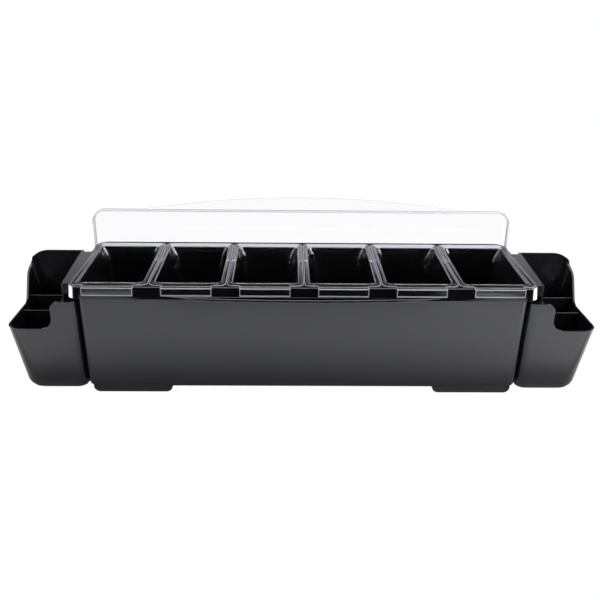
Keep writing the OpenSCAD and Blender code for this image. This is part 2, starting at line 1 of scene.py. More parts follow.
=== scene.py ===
# %% [markdown]
# # A condiment caddy for a bar
# The caddy has a black tub, six clear trays, a clear lid on arms and a black holder at each end.
# Its exact shapes come in as an imported model, where every node sits in its place. They could be
# modelled again by eye, but the drawing's own solids fit one another to a fraction of a
# millimetre, so they stay as a fixed frame and are only dressed.

# %% Load the frame
import json
import math
import bmesh
import bpy
from mathutils import Matrix, Vector


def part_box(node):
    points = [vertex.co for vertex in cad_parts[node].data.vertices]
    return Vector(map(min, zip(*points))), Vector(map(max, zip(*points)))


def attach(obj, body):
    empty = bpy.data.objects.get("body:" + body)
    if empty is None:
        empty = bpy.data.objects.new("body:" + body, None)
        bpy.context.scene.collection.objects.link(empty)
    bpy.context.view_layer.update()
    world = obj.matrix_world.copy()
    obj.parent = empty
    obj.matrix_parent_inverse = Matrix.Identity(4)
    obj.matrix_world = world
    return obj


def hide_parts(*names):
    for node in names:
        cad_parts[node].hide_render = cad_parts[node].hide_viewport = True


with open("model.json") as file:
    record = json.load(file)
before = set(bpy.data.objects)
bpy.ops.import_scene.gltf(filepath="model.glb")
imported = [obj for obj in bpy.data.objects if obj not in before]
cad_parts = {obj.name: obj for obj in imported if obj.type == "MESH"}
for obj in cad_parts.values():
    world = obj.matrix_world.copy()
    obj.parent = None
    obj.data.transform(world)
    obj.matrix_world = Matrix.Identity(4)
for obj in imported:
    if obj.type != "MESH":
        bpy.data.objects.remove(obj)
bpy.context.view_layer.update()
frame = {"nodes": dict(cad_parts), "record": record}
nodes = frame["nodes"]
MM = 0.001
rim_low, rim_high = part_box("base_liner")
print("nodes:", len(nodes), "height of the rim in mm:", round(rim_high[2] / MM, 1))

# %% [markdown]
# The photographer stood in front of the caddy, a little above it. A camera can be placed by eye
# until picture and photograph agree, but errors in its lens and its distance hide each other.
# Here its place, its small turn and roll and its focal length were worked out together, from the
# corners of the rim and the ends of the bars between the trays. So every difference that is left
# is one of shape or finish.

# %% Camera
CAM_AT = Vector((-17.57, -825.2, 420.25)) * MM
CAM_DOWN = math.radians(22.35)
CAM_TURN = math.radians(1.0221)
CAM_ROLL = math.radians(0.6815)
FOCAL_PX = 766.9
PHOTO_PX = 600.0
SENSOR = 36.0

forward = Vector((math.sin(CAM_TURN) * math.cos(CAM_DOWN),
                  math.cos(CAM_TURN) * math.cos(CAM_DOWN), -math.sin(CAM_DOWN)))
level = Vector((math.cos(CAM_TURN), -math.sin(CAM_TURN), 0.0))
over = level.cross(forward)
right = level * math.cos(CAM_ROLL) + over * math.sin(CAM_ROLL)
up = over * math.cos(CAM_ROLL) - level * math.sin(CAM_ROLL)
cam_data = bpy.data.cameras.new("photo_camera")
cam_data.sensor_fit = "HORIZONTAL"
cam_data.sensor_width = SENSOR
cam_data.lens = SENSOR * FOCAL_PX / PHOTO_PX
cam = bpy.data.objects.new("photo_camera", cam_data)
turned = Matrix((right, up, -forward)).transposed().to_4x4()
cam.matrix_world = Matrix.Translation(CAM_AT) @ turned
scene = bpy.context.scene
scene.collection.objects.link(cam)
scene.camera = cam
print("lens in mm:", round(cam_data.lens, 2))

# %% [markdown]
# The room, the floor and every finish are graphs of nodes. They could be wired one node at a
# time, but the same few steps come back again and again. So each of these gets a helper: a math
# node, a smooth step, a mix of two shaders, and the three parts of a point.

# %% Helpers for node graphs
def math_node(tree, kind, a, b=None):
    """One math node; each input is a socket or a number."""
    node = tree.nodes.new("ShaderNodeMath")
    node.operation = kind
    for slot, value in enumerate((a, b)):
        if isinstance(value, (int, float)):
            node.inputs[slot].default_value = value
        elif value is not None:
            tree.links.new(value, node.inputs[slot])
    return node.outputs[0]


def ramp(tree, value, low, high, out_low=0.0, out_high=1.0):
    """A smooth step from one value to another."""
    node = tree.nodes.new("ShaderNodeMapRange")
    node.interpolation_type = "SMOOTHSTEP"
    node.inputs["From Min"].default_value = low
    node.inputs["From Max"].default_value = high
    node.inputs["To Min"].default_value = out_low
    node.inputs["To Max"].default_value = out_high
    tree.links.new(value, node.inputs["Value"])
    return node.outputs["Result"]


def mix(tree, share, first, second):
    """A mix of two shaders; a share of 1 gives the second alone."""
    node = tree.nodes.new("ShaderNodeMixShader")
    for slot, value in enumerate((share, first, second)):
        tree.links.new(value, node.inputs[slot])
    return node.outputs[0]


def split_xyz(tree, value):
    node = tree.nodes.new("ShaderNodeSeparateXYZ")
    tree.links.new(value, node.inputs[0])
    return node.outputs


print("helpers for node graphs ready")

# %% [markdown]
# A shiny black tub shows little of its own; what one sees on it is the room. The Light Path node
# tells which ray is asking: one from the camera, straight or through clear plastic, one that
# comes back from a surface that mirrors, or one that only brings light. Three renders of three
# rooms could be joined, but it is simpler when one room gives each kind of ray its own answer.

# %% Telling rays apart
def ray_masks(tree):
    """Two masks: seen straight or through clear plastic, and seen in a reflection."""
    path = tree.nodes.new("ShaderNodeLightPath")
    mirrored = math_node(tree, "GREATER_THAN", path.outputs["Glossy Depth"], 0.5)
    direct = math_node(tree, "SUBTRACT", 1.0, mirrored)
    through = math_node(tree, "MULTIPLY", path.outputs["Is Transmission Ray"], direct)
    seen = math_node(tree, "MAXIMUM", path.outputs["Is Camera Ray"], through)
    either = math_node(tree, "MAXIMUM", path.outputs["Is Glossy Ray"],
                       path.outputs["Is Transmission Ray"])
    return seen, math_node(tree, "MULTIPLY", either, mirrored)


print("masks for seen and mirrored rays ready")

# %% [markdown]
# The caddy stands in a studio with a white background. A bright white world would give that, but
# it would also wash out the black plastic. So the room is plain white where the camera sees it
# and dimmer as light. In a reflection it is what such a room really holds: a sheet of bright
# paper behind the table, lower towards its ends, and the dark around the camera.

# %% World
WHITE = (1.0, 1.0, 1.0, 1.0)
WORLD_LIGHT = 0.36
WORLD_WHITE = 1.0
MIRROR_TINT = (0.97, 0.97, 1.0, 1.0)
MIRROR_BACK = 0.9
MIRROR_FRONT = 0.015
# heights and sides of the paper, as parts of a direction of length 1
PAPER_TOP = 0.338
PAPER_FALL = 0.2
PAPER_BLUR = 0.015
PAPER_SIDES = (-0.05, 0.25)

scene.view_settings.view_transform = "Standard"
world = bpy.data.worlds.new("white_room")
scene.world = world
world.use_nodes = True
tree = world.node_tree


def room(node, colour, strength):
    """Sets up one of the three rooms; the strength is a number or a socket."""
    node.inputs["Color"].default_value = colour
    if isinstance(strength, float):
        node.inputs["Strength"].default_value = strength
    else:
        tree.links.new(strength, node.inputs["Strength"])
    return node.outputs[0]


look = tree.nodes.new("ShaderNodeTexCoord")
way = split_xyz(tree, look.outputs["Generated"])
aside = math_node(tree, "MULTIPLY", way["X"], way["X"])
drop = math_node(tree, "MULTIPLY", aside, PAPER_FALL)
paper_top = math_node(tree, "SUBTRACT", PAPER_TOP, drop)
under_top = math_node(tree, "SUBTRACT", paper_top, way["Z"])
paper = ramp(tree, under_top, -PAPER_BLUR, PAPER_BLUR, 0.0, MIRROR_BACK)
behind = ramp(tree, way["Y"], *PAPER_SIDES)
lit_paper = math_node(tree, "MULTIPLY", paper, behind)
in_mirror = math_node(tree, "ADD", lit_paper, MIRROR_FRONT)
as_light = room(tree.nodes["Background"], WHITE, WORLD_LIGHT)
as_seen = room(tree.nodes.new("ShaderNodeBackground"), WHITE, WORLD_WHITE)
as_mirror = room(tree.nodes.new("ShaderNodeBackground"), MIRROR_TINT, in_mirror)
seen, mirrored = ray_masks(tree)
unseen_room = mix(tree, mirrored, as_light, as_mirror)
tree.links.new(mix(tree, seen, unseen_room, as_seen),
               tree.nodes["World Output"].inputs["Surface"])
print("world set, white", WORLD_WHITE, "and as light", WORLD_LIGHT)

# %% [markdown]
# The photograph's light is soft and nearly even. Area lamps give that; a sun or a point lamp
# would draw hard shadows. Three of them light the caddy: one overhead and a little behind, kept
# out of reflections, which leaves the table darker just in front, and one at each side. Three
# strips are there for reflections alone: a wide one above draws the thin light lines along the
# edges, and two low ones beside the table draw the bright bars down the rim's round corners.

# %% Lamps
# name, place, aim, width and height, watts, in reflections, on matt surfaces
LAMPS = (
    ("overhead", (0.0, 0.52, 1.12), (0.0, 0.0, 0.0), (1.5, 0.5), 14.0, False, True),
    ("softbox_left", (-1.1, -0.45, 0.5), (-0.35, -0.3, 0.0), (0.6, 0.7), 5.0, True, True),
    ("softbox_right", (0.95, -0.38, 0.44), (0.52, -0.2, 0.0), (0.6, 0.7), 11.0, True, True),
    ("strip_above", (0.0, -0.35, 1.5), (0.0, -0.05, 0.1), (2.4, 0.9), 13.0, True, False),
    ("strip_left", (-0.56, 0.006, 0.032), (0.0, 0.006, 0.032), (0.35, 0.055), 0.8, True, False),
    ("strip_right", (0.56, 0.006, 0.032), (0.0, 0.006, 0.032), (0.35, 0.055), 0.8, True, False),
)

for name, at, aim, (wide, tall), watts, shines, lights in LAMPS:
    data = bpy.data.lights.new(name, "AREA")
    data.shape = "RECTANGLE"
    data.size = wide
    data.size_y = tall
    data.energy = watts
    thing = bpy.data.objects.new(name, data)
    thing.location = at
    thing.rotation_euler = (Vector(aim) - Vector(at)).to_track_quat("-Z", "Y").to_euler()
    thing.visible_camera = False
    thing.visible_glossy = shines
    thing.visible_diffuse = lights
    scene.collection.objects.link(thing)
print("lamps:", ", ".join(row[0] for row in LAMPS))

# %% [markdown]
# Under the caddy lies a pale sheet, and the tub's front wall mirrors it. Lamps alone light a wide
# floor too evenly for that, so a mask paints where the sheet is lit in a reflection. It paints
# shade at the caddy's foot, and the lit part ends a short way in front of the caddy, sooner in the
# middle than at the sides; past that the sheet is painted as dark as the room.

# %% Where the table is lit
TABLE_EDGE = (-0.345, -0.295)
TABLE_WINGS = (0.17, 0.27)
WING_REACH = 0.2
TABLE_SIDES = (0.325, 0.345)
SIDE_EDGE = (-0.3, -0.25)
# painted shade in the sheet's reflection at the caddy's foot: its line, its reach, and the share
# of light left there
SHADE_Y = -0.088
SHADE_REACH = 0.05
SHADE_LEFT = 0.5


def lit_table(t):
    """1 where the table is lit in a reflection, less where shade is painted at the caddy's foot, 0
    where the reflection finds the dark room.
    """
    spot = t.nodes.new("ShaderNodeNewGeometry")
    at = split_xyz(t, spot.outputs["Position"])
    aside = math_node(t, "ABSOLUTE", at["X"])
    wing = ramp(t, aside, *TABLE_WINGS, 0.0, WING_REACH)
    before = ramp(t, math_node(t, "ADD", at["Y"], wing), *TABLE_EDGE)
    inward = ramp(t, aside, *TABLE_SIDES, 1.0, 0.0)
    near = math_node(t, "MAXIMUM", inward, ramp(t, at["Y"], *SIDE_EDGE))
    off_line = math_node(t, "ABSOLUTE", math_node(t, "SUBTRACT", at["Y"], SHADE_Y))
    shade = ramp(t, off_line, 0.0, SHADE_REACH, SHADE_LEFT, 1.0)
    return math_node(t, "MULTIPLY", math_node(t, "MULTIPLY", before, near), shade)


print("mask for the lit table ready")

# %% [markdown]
# Seen straight, the floor has to melt into the white background and still keep the caddy's
# shadow. A shadow catcher would do, but it needs a second step after the render. So the sheet
# glows nearly white for the camera, and a small share of its true shading is mixed in, which is
# where the shadow lives.

# %% The floor's finish
FLOOR_WHITE = 0.93
FLOOR_GLOW = 1.06
FLOOR_DARK = 0.02
FLOOR_COLOUR = (0.8, 0.8, 0.8, 1.0)
FLOOR_ROUGH = 0.9
FLOOR_GRAIN = 60.0
FLOOR_BUMP = 0.03


def principled(name):
    mat = bpy.data.materials.new(name)
    mat.use_nodes = True
    return mat, mat.node_tree, mat.node_tree.nodes["Principled BSDF"]


def noise(t, scale, detail, space=None):
    """Noise, laid out in the object's own space or in the surface's."""
    node = t.nodes.new("ShaderNodeTexNoise")
    node.inputs["Scale"].default_value = scale
    node.inputs["Detail"].default_value = detail
    if space:
        place = t.nodes.new("ShaderNodeTexCoord")
        t.links.new(place.outputs[space], node.inputs["Vector"])
    return node.outputs["Fac"]


def glow(t, strength):
    node = t.nodes.new("ShaderNodeEmission")
    node.inputs["Strength"].default_value = strength
    return node.outputs[0]


def floor_finish():
    mat, t, body = principled("pale_floor")
    body.inputs["Base Color"].default_value = FLOOR_COLOUR
    body.inputs["Roughness"].default_value = FLOOR_ROUGH
    bump = t.nodes.new("ShaderNodeBump")
    bump.inputs["Strength"].default_value = FLOOR_BUMP
    t.links.new(noise(t, FLOOR_GRAIN, 2.0), bump.inputs["Height"])
    t.links.new(bump.outputs["Normal"], body.inputs["Normal"])
    seen, mirrored = ray_masks(t)
    # in a reflection the sheet shows the mask's painted light and shade
    unlit = math_node(t, "SUBTRACT", 1.0, lit_table(t))
    hidden = math_node(t, "MULTIPLY", mirrored, unlit)
    unseen = mix(t, hidden, body.outputs[0], glow(t, FLOOR_DARK))
    share = math_node(t, "MULTIPLY", seen, FLOOR_WHITE)
    t.links.new(mix(t, share, unseen, glow(t, FLOOR_GLOW)),
                t.nodes["Material Output"].inputs["Surface"])
    return mat


pale_floor = floor_finish()
print("finish ready:", pale_floor.name)

# %% [markdown]
# Every shape that is drawn here starts as a loose mesh. Ready-made boxes and tubes could be
# scaled into place, but a mesh built point by point has just the faces that the shape needs. It
# becomes an object that is smooth where its faces meet at a small angle and sharp elsewhere. The
# floor, a plain grid, is the first.

# %% Floor
FLOOR_HALF = 6.0
SMOOTH_DEG = 35.0


def new_object(name, bm, mats, smooth_deg=SMOOTH_DEG):
    """A mesh object from a bmesh, smooth where its faces meet at less than an angle."""
    mesh = bpy.data.meshes.new(name)
    bmesh.ops.recalc_face_normals(bm, faces=bm.faces[:])
    bm.to_mesh(mesh)
    bm.free()
    mesh.shade_smooth()
    mesh.set_sharp_from_angle(angle=math.radians(smooth_deg))
    for mat in mats:
        mesh.materials.append(mat)
    thing = bpy.data.objects.new(name, mesh)
    scene.collection.objects.link(thing)
    return thing


sheet = bmesh.new()
bmesh.ops.create_grid(sheet, x_segments=2, y_segments=2, size=FLOOR_HALF)
floor = new_object("floor", sheet, [pale_floor])
print("half width of the floor in m:", FLOOR_HALF)

# %% [markdown]
# The tub and the holders are black moulded plastic with a high shine. One flat near-black with
# one roughness would look like a drawing, because no moulding is so even. So the recipe lets tone
# and roughness drift slowly over the part and adds a bump too fine to see by itself. All of it is
# noise in the part's own space, which needs no picture and has no seams.

# %% A recipe for black plastic
SHINE_TINT = (0.94, 0.95, 1.0, 1.0)
TONE_SCALE = 9.0
TONE_DETAIL = 3.0
TONE_DRIFT = 0.14
GRAIN_DETAIL = 2.0
GRAIN_DEPTH = 0.0002


def drift_rough(t, body, value, low, high):
    """Lets the roughness drift between two values."""
    span = t.nodes.new("ShaderNodeMapRange")
    span.inputs["To Min"].default_value = low
    span.inputs["To Max"].default_value = high
    t.links.new(value, span.inputs["Value"])
    t.links.new(span.outputs["Result"], body.inputs["Roughness"])


def plastic(name, colour, rough, drift, grain_scale, grain, level=0.5):
    """Black plastic: colour, roughness and its drift, grain, and how strongly it mirrors."""
    mat, t, body = principled(name)
    body.inputs["Specular IOR Level"].default_value = level
    body.inputs["Specular Tint"].default_value = SHINE_TINT
    slow = noise(t, TONE_SCALE, TONE_DETAIL, "Object")
    tone = t.nodes.new("ShaderNodeValToRGB")
    for stop, share in zip(tone.color_ramp.elements, (1 - TONE_DRIFT, 1 + TONE_DRIFT)):
        stop.color = [c * share for c in colour] + [1.0]
    t.links.new(slow, tone.inputs["Fac"])
    t.links.new(tone.outputs["Color"], body.inputs["Base Color"])
    drift_rough(t, body, slow, rough - drift, rough + drift)
    bump = t.nodes.new("ShaderNodeBump")
    bump.inputs["Strength"].default_value = grain
    bump.inputs["Distance"].default_value = GRAIN_DEPTH
    t.links.new(noise(t, grain_scale, GRAIN_DETAIL, "Object"), bump.inputs["Height"])
    t.links.new(bump.outputs["Normal"], body.inputs["Normal"])
    return mat


print("recipe for black plastic ready")

# %% [markdown]
# Walls, rim, hinge, hooks and pads are that recipe with other numbers. They could share one
# finish, but under the trays the rim has to stay dark, and the pads are rubber. The rounded edges
# of the rim and of the dividers have finishes of their own: a lighter colour that is a painted
# highlight, because at this size an edge is narrower than the light line that it draws. The flat
# top of each hook is a lighter grey too, a painted sheen where it faces up.

# %% The black finishes
wall_black = plastic("wall_black", (0.005, 0.005, 0.0062), 0.17, 0.02, 700.0, 0.05, 0.85)
rim_black = plastic("rim_black", (0.003, 0.003, 0.004), 0.09, 0.015, 500.0, 0.03, 0.6)
dull_black = plastic("dull_black", (0.003, 0.003, 0.004), 0.6, 0.05, 900.0, 0.1, 0.1)
hinge_black = plastic("hinge_black", (0.02, 0.02, 0.022), 0.45, 0.05, 700.0, 0.2)
divider_edge_painted_highlight = plastic("divider_edge_painted_highlight", (0.04, 0.04, 0.043), 0.35, 0.03, 700.0, 0.05, 0.9)
rim_edge_painted_highlight = plastic("rim_edge_painted_highlight", (0.16, 0.16, 0.17), 0.35, 0.03, 700.0, 0.05, 0.9)
hook_top_painted_sheen = plastic("hook_top_painted_sheen", (0.014, 0.014, 0.015), 0.2, 0.03, 700.0, 0.05, 0.9)
rubber = plastic("pad_rubber", (0.03, 0.03, 0.03), 0.8, 0.06, 1200.0, 0.5)
print("black finishes ready")

# %% [markdown]
# Trays and lid are clear plastic. A half-transparent white would be quick, but it bends no light
# and has no bright edges. So light passes through a wall with a real thickness and bends at each
# of its faces. A faint violet is all its colour. Narrow strips along the edges have finishes of
# their own, which let less light through: on the lid's edges, where one looks through far more
# plastic, a deeper violet; on the trays, painted light lines along flange, mouth and tab, and a
# whiter painted reflection along the back.

# %% Clear finishes
CLEAR_IOR = 1.49
WEAR_SCALE = 14.0
WEAR_DETAIL = 2.0


def clear(name, colour, rough, through=1.0):
    """Clear plastic: its tint, its roughness, and the share of light that passes through."""
    mat, t, body = principled(name)
    body.inputs["Base Color"].default_value = colour + (1.0,)
    body.inputs["Transmission Weight"].default_value = through
    body.inputs["IOR"].default_value = CLEAR_IOR
    wear = noise(t, WEAR_SCALE, WEAR_DETAIL, "Object")
    drift_rough(t, body, wear, rough * 0.5, rough * 1.5)
    return mat


clear_tray = clear("clear_tray", (0.93, 0.93, 0.965), 0.03)
clear_lid = clear("clear_lid", (0.985, 0.98, 1.0), 0.02)
# painted light on the trays: two kinds of light line along the edges, and a whiter painted
# reflection along the back
tray_painted_edge_light = clear("tray_painted_edge_light", (0.17, 0.17, 0.22), 0.2, 0.4)
tray_painted_light_line = clear("tray_painted_light_line", (0.36, 0.36, 0.43), 0.2, 0.1)
tray_painted_rear_reflection = clear("tray_painted_rear_reflection", (0.8, 0.8, 0.86), 0.2, 0.5)
lid_edge = clear("lid_edge", (0.78, 0.77, 0.85), 0.15, 0.5)
print("clear finishes ready")

# %% [markdown]
# Pins and screws are plain steel, turned on a lathe, and fine marks break up their shine. The
# marks could be cut as grooves, but they are far smaller than a pixel, so a fast noise in the
# roughness stands for them.

# %% Steel
STEEL_COLOUR = (0.6, 0.6, 0.62, 1.0)
STEEL_ROUGH = (0.22, 0.42)
STEEL_MARKS = 1500.0


def steel_finish():
    mat, t, body = principled("turned_steel")
    body.inputs["Base Color"].default_value = STEEL_COLOUR
    body.inputs["Metallic"].default_value = 1.0
    drift_rough(t, body, noise(t, STEEL_MARKS, 2.0, "Object"), *STEEL_ROUGH)
    return mat


steel = steel_finish()
print("finish ready:", steel.name)

# %% [markdown]
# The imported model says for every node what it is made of. The finishes could be handed out one
# node at a time; read from the model's own list, they leave no node out.

# %% A finish for every node
finish_of = {
    "tub_black": wall_black, "holder_black": wall_black, "tray_clear": clear_tray,
    "lid_clear": clear_lid, "hinge_black": hinge_black, "pin_steel": steel,
    "rubber_pad": rubber,
}
slot_of = {p["node"]: p["material_slot"] for p in frame["record"]["subparts"]}
body_of = {n: b for b, ns in frame["record"]["behaviour"]["bodies"].items() for n in ns}
for name, thing in nodes.items():
    thing.data.materials.clear()
    thing.data.materials.append(finish_of[slot_of[name]])
print("finishes set on", len(nodes), "nodes")

# %% [markdown]
# A dressed part takes its node's place and moves with the node's body. Its shading needs care
# too: where a large flat face meets a narrow rounded strip, plain smooth shading bends the light
# far into the flat face. More faces would cure it; weighted normals do so without any, because
# they let the large face decide.

# %% Taking a node's place
def stand_in(thing, node):
    """Puts a piece in a node's place, on the node's body."""
    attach(thing, body_of[node])
    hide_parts(node)
    return thing


def even_shading(thing):
    """Keeps flat faces flat in the light where they meet a rounded strip."""
    even = thing.modifiers.new("even_shading", "WEIGHTED_NORMAL")
    even.keep_sharp = True


print("stand-ins ready")

# %% [markdown]
# A moulding has no knife edges. They could be rounded in the drawing, at a great cost in faces; a
# bevel on a copy of the node does the same for what is seen. The copy's flat faces are joined up
# first, so that the bevel finds real edges only, and then light runs along the rims. The strips
# that the bevel makes can have a finish of their own.

# %% Rounding a node's edges
WELD = 0.01
JOIN_DEG = 1.0
SHARP_DEG = 32.0
ROUND_RINGS = 3


def round_edges(thing, width, edge_deg, rings=ROUND_RINGS, finish=-1, clamp=True):
    """Rounds the edges that are sharper than an angle; the width is in mm."""
    bevel = thing.modifiers.new("rounded_edges", "BEVEL")
    bevel.width = width * MM
    bevel.segments = rings
    bevel.limit_method = "ANGLE"
    bevel.angle_limit = math.radians(edge_deg)
    bevel.use_clamp_overlap = clamp
    bevel.harden_normals = False
    bevel.material = finish
    even_shading(thing)


def dress(node, mats, width, name, join_deg=JOIN_DEG, pick=None, edge=-1, clamp=True):
    """A copy of a node with rounded edges, riding on the node's body in the node's place."""
    bm = bmesh.new()
    bm.from_mesh(nodes[node].data)
    bmesh.ops.remove_doubles(bm, verts=bm.verts[:], dist=WELD * MM)
    bmesh.ops.dissolve_limit(bm, angle_limit=math.radians(join_deg), use_dissolve_boundaries=False,
                             verts=bm.verts[:], edges=bm.edges[:], delimit={"NORMAL"})
    for face in bm.faces:
        face.material_index = pick(face) if pick else 0
    thing = new_object(name, bm, mats)
    round_edges(thing, width, SHARP_DEG, finish=edge, clamp=clamp)
    return stand_in(thing, node)


print("rounding ready")

# %% [markdown]
# The band round the rim and the ledge in front shine; the rim's flat top and the well, which the
# trays cover, are dull, and the flat top of each holder's hook carries a painted sheen, a lighter
# grey. They could be pieces of their own, but each of them is part of one moulding. So its faces
# are picked by where they lie and by the way they face.

# %% Picking faces
# half length, front and back, in mm
RIM_TOP = (246.0, -81.0, 70.0)
WELL = (243.0, -79.0, 66.0)
WELL_TOP = 114.0
LINER_FOOT = 10.0
HOOK_LOW = 123.0
HOOK_REACH = 265.0
FACES_UP = 0.9


def within(spot, half, front, back):
    return abs(spot.x) < half and front < spot.y < back


def rim_part(face):
    """1 for the rim's flat top and the well inside it, 0 for the band and the ledge."""
    spot = face.calc_center_median() / MM
    if not within(spot, *RIM_TOP) or spot.z <= LINER_FOOT:
        return 0
    return int(face.normal.z > FACES_UP or spot.z < WELL_TOP or within(spot, *WELL))


def hook_part(face):
    """1 for the flat top of the holder's hook, which gets a painted sheen."""
    spot = face.calc_center_median() / MM
    return int(face.normal.z > FACES_UP and spot.z > HOOK_LOW and abs(spot.x) < HOOK_REACH)


print("faces can be picked")

# %% [markdown]
# Now the black parts are dressed: the tub's shell and liner, the holders with their dividers, and
# the lid's arms and brackets. One rounding for all would be simpler, but thick parts have rounder
# edges than thin ones on the real caddy, so each kind has its own.

# %% The black parts
# painted light: the rounded edges of the liner and the dividers take painted highlights, and the
# hooks' flat tops a painted sheen
dress("base_shell", [wall_black], 0.8, "tub_shell")
dress("base_liner", [rim_black, dull_black, rim_edge_painted_highlight], 0.5, "tub_rim", join_deg=0.05,
      pick=rim_part, edge=2, clamp=False)
for hand in ("left", "right"):
    dress("holder_" + hand, [wall_black, hook_top_painted_sheen], 0.7, "side_holder_" + hand, pick=hook_part)
    for place_of in ("front", "back"):
        node = "divider_" + place_of + "_" + hand
        dress(node, [wall_black, divider_edge_painted_highlight], 0.4, "side_" + node, edge=1)
    dress("swing_link_" + hand, [hinge_black], 0.6, "lid_arm_" + hand)
    dress("hinge_bracket_" + hand, [hinge_black], 0.5, "arm_bracket_" + hand)
print("rounded parts placed")

# %% [markdown]
# Clear parts show every facet and every stray edge. The drawing's solids could be bevelled like
# the black ones, but their many flat strips would glint, so they are drawn anew as an even skin.
# Rings of points are laid one over the other and joined. The ring is always a rectangle with
# round corners and the same number of points, so any two of them can be joined.

# %% Rings and skins
CORNER_STEPS = 8
LEAST_ROUND = 0.3


def ring(x0, x1, y0, y1, r, extra=()):
    """Points of a rounded rectangle, anticlockwise from the left end of its front edge."""
    points = [(x0 + r, y0)] + [(x, y0) for x in extra]
    for cx, cy, start in ((x1 - r, y0 + r, -90), (x1 - r, y1 - r, 0),
                          (x0 + r, y1 - r, 90), (x0 + r, y0 + r, 180)):
        for step in range(CORNER_STEPS + 1):
            turn = math.radians(start + 90.0 * step / CORNER_STEPS)
            points.append((cx + r * math.cos(turn), cy + r * math.sin(turn)))
    return points[:-1]


def skin(bm, rings):
    """Joins rings of points, given in mm, into one closed skin; gives back its strips."""
    rows = [[bm.verts.new(Vector(p) * MM) for p in points] for points in rings]
    bm.faces.new(rows[0])
    bm.faces.new(rows[-1])
    count = len(rows[0])
    return [[bm.faces.new((low[i], low[(i + 1) % count], high[(i + 1) % count], high[i]))
             for i in range(count)]
            for low, high in zip(rows, rows[1:])]


def grown(box, by):
    """A ring's box and corner radius, moved outward by a distance."""
    x0, x1, y0, y1, r = box
    return (x0 - by, x1 + by, y0 - by, y1 + by, max(r + by, LEAST_ROUND))


print("points in a plain ring:", len(ring(-1, 1, -1, 1, 0.5)))

# %% [markdown]
# Each tray is a bin with a flared mouth and a flat flange round it. A box could be hollowed out
# for it, but a row of rings gives the wall its real thickness and each corner its radius at once.
# The rings run from the underside, round the flange and down to the floor inside. The numbers are
# millimetres from the middle of the tray; the tub's middle lies a little in front of the frame's.

# %% A tray's rings
TRAY_PITCH = 81.6
TUB_MIDDLE = -5.75
# left, right, front, back and corner radius
FLANGE = (-40.5, 40.5, -75.7, 65.5, 8.0)
MOUTH = (-34.3, 34.3, -66.0, 53.5, 6.6)
NECK = (-28.7, 28.7, -64.0, 52.0, 6.6)
FLOOR_IN = (-23.7, 23.7, -59.0, 47.0, 6.6)
TRAY_WALL = 1.4
FLANGE_LOW = 128.3
FLANGE_TOP = 130.1
NECK_Z = 118.5
FLOOR_Z = 57.4
FLOOR_ROUND = 5.0
MOUTH_ROUND = 1.6
EDGE_ROUND = 0.8
EDGE_BULGE = 0.3
ROUND_STEPS = 4
TAB_HALF = 26.25
TAB_LINE = 0.55


def quarter():
    """How far a quarter round runs in and up at each of its steps, as shares of its radius."""
    turns = [math.radians(90.0 * step / ROUND_STEPS) for step in range(ROUND_STEPS + 1)]
    return [(1 - math.cos(turn), 1 - math.sin(turn)) for turn in turns]


def tray_rings():
    """The rings, the rows of strips that are the flange's edge, and those of the mouth's."""
    tab = (-TAB_HALF, TAB_LINE - TAB_HALF, TAB_HALF - TAB_LINE, TAB_HALF)
    plan = []

    def lay(box, z):
        plan.append([(x, y, z) for x, y in ring(*box, extra=tab)])

    for inward, upward in reversed(quarter()):
        lay(grown(FLOOR_IN, TRAY_WALL - FLOOR_ROUND * inward),
            FLOOR_Z - TRAY_WALL + FLOOR_ROUND * upward)
    lay(grown(NECK, TRAY_WALL), NECK_Z)
    lay(grown(MOUTH, TRAY_WALL), FLANGE_LOW)
    start = len(plan)
    lay(grown(FLANGE, -EDGE_ROUND), FLANGE_LOW)
    lay(FLANGE, FLANGE_LOW + EDGE_ROUND)
    lay(FLANGE, FLANGE_TOP - EDGE_ROUND)
    lay(grown(FLANGE, -EDGE_ROUND * EDGE_BULGE), FLANGE_TOP - EDGE_ROUND * EDGE_BULGE)
    lay(grown(FLANGE, -EDGE_ROUND), FLANGE_TOP)
    end = len(plan)
    for inward, upward in quarter():
        lay(grown(MOUTH, MOUTH_ROUND * upward), FLANGE_TOP - MOUTH_ROUND * inward)
    lay(NECK, NECK_Z)
    for inward, upward in quarter():
        lay(grown(FLOOR_IN, -FLOOR_ROUND * inward), FLOOR_Z + FLOOR_ROUND * upward)
    return plan, range(start, end - 1), range(end, end + 2)


print("rings in a tray:", len(tray_rings()[0]))

# %% [markdown]
# The finger tab grows out of the flange's front edge: it runs forward, bends down over the rim and
# ends in a painted light line. It could be a second piece pushed into the tray, but clear solids
# that overlap show their hidden faces. So a part of the skin is pulled out and turned step by
# step, and tray and tab stay one solid.

# %% The finger tab
# EDGE and LINE carry painted light lines, REAR a painted reflection
TRAY_MATS = (clear_tray, tray_painted_edge_light, tray_painted_light_line, tray_painted_rear_reflection)
CLEAR, EDGE, LINE, REAR = range(4)
TAB_FRONT = -84.0
TAB_LOW = 121.6
TAB_FOLD = 1.2
TAB_FLAT = 0.05
BEND = 2.6
BEND_STEPS = 4


def push(bm, faces, move):
    """Pulls faces out of the skin and moves them; gives back the moved faces."""
    for face in faces:
        face.material_index = CLEAR
    out = bmesh.ops.extrude_face_region(bm, geom=faces)
    bmesh.ops.delete(bm, geom=faces, context="FACES_ONLY")
    for vert in (g for g in out["geom"] if isinstance(g, bmesh.types.BMVert)):
        vert.co = move(vert.co)
    return [g for g in out["geom"] if isinstance(g, bmesh.types.BMFace)]


